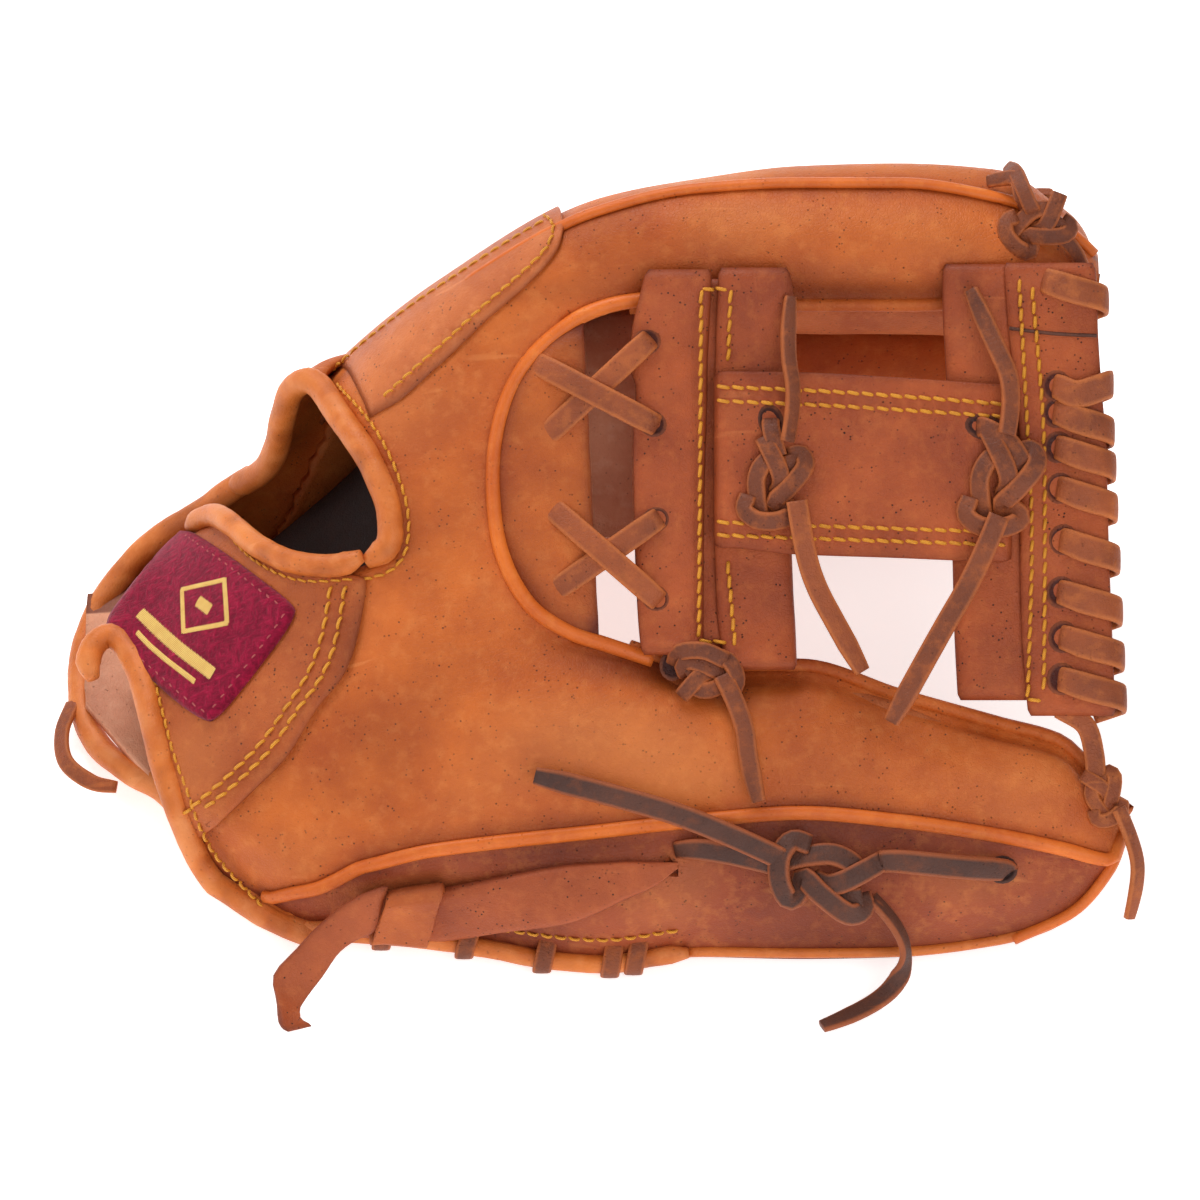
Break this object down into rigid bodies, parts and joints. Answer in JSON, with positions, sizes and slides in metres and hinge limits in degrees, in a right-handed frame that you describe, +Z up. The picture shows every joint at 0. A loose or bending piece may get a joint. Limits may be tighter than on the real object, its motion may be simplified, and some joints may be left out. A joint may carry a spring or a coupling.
{
  "type": "baseball glove",
  "caption": "Left-hand infielder's leather baseball glove with an I-web, lying palm down, its thumb half folding towards the fingers.",
  "frame": {"origin": "centre of the glove's footprint on the floor, without its free lace ends, lying palm down on thumb edge, little finger and heel", "axes": "+X from the heel to the fingertips, +Z up, thumb on the -Y side"},
  "size_m": [0.2965, 0.2183, 0.1513],
  "materials": {
    "glove_leather": "oiled",
    "palm_leather": "oiled",
    "web_leather": "oiled",
    "strap_leather": "oiled",
    "patch_felt": "felt",
    "padding_felt": "felt",
    "lining_leather": "oiled",
    "binding_leather": "oiled",
    "piping": "oiled",
    "dark_lace": "oiled",
    "lace": "oiled"
  },
  "bodies": {
    "fingers": {"back_shell": "glove_leather", "crotch_lace": "lace", "crotch_panel": "glove_leather", "crotch_piping": "piping", "finger_lace": "lace", "heel_binding": "binding_leather", "heel_lace_end": "lace", "heel_pad": "padding_felt", "index_pad": "glove_leather", "index_piping": "piping", "index_stall": "glove_leather", "index_tip_knot": "lace", "little_back": "glove_leather", "little_stall": "glove_leather", "middle_stall": "glove_leather", "opening_binding": "binding_leather", "palm_lining": "lining_leather", "palm_pad": "padding_felt", "palm_shell": "palm_leather", "patch": "patch_felt", "ring_stall": "glove_leather", "strap_binding": "binding_leather", "strap_top_binding": "binding_leather", "web_base_bar": "web_leather", "web_bridge": "web_leather", "web_knot_left": "lace", "web_knot_right": "lace", "web_lace": "lace", "web_tail_left_down": "lace", "web_tail_left_up": "lace", "web_tail_right_down": "lace", "web_tail_right_up": "lace", "web_tip_bar": "web_leather", "wrist_strap": "strap_leather"},
    "thumb": {"base_knot": "lace", "base_tail": "lace", "edge_lace": "dark_lace", "strap_keeper": "strap_leather", "strap_tail": "strap_leather", "thumb_back": "glove_leather", "thumb_binding": "binding_leather", "thumb_felt": "padding_felt", "thumb_heel_binding": "binding_leather", "thumb_knot": "dark_lace", "thumb_palm": "palm_leather", "thumb_piping": "piping", "thumb_stall": "glove_leather", "thumb_strap": "strap_leather", "thumb_tail_floor": "lace", "thumb_tail_long": "dark_lace", "thumb_tip_knot": "lace", "thumb_tip_tail": "lace", "web_lace_end": "lace", "web_tip_bar_end": "web_leather"}
  },
  "joints": [
    {"name": "thumb_fold", "type": "hinge", "parent": "fingers", "child": "thumb", "pos_m": [-0.12695, -0.01483, 0.01198], "axis": [0.9698, 0.0314, 0.242], "range_deg": [-8, 18]}
  ]
}
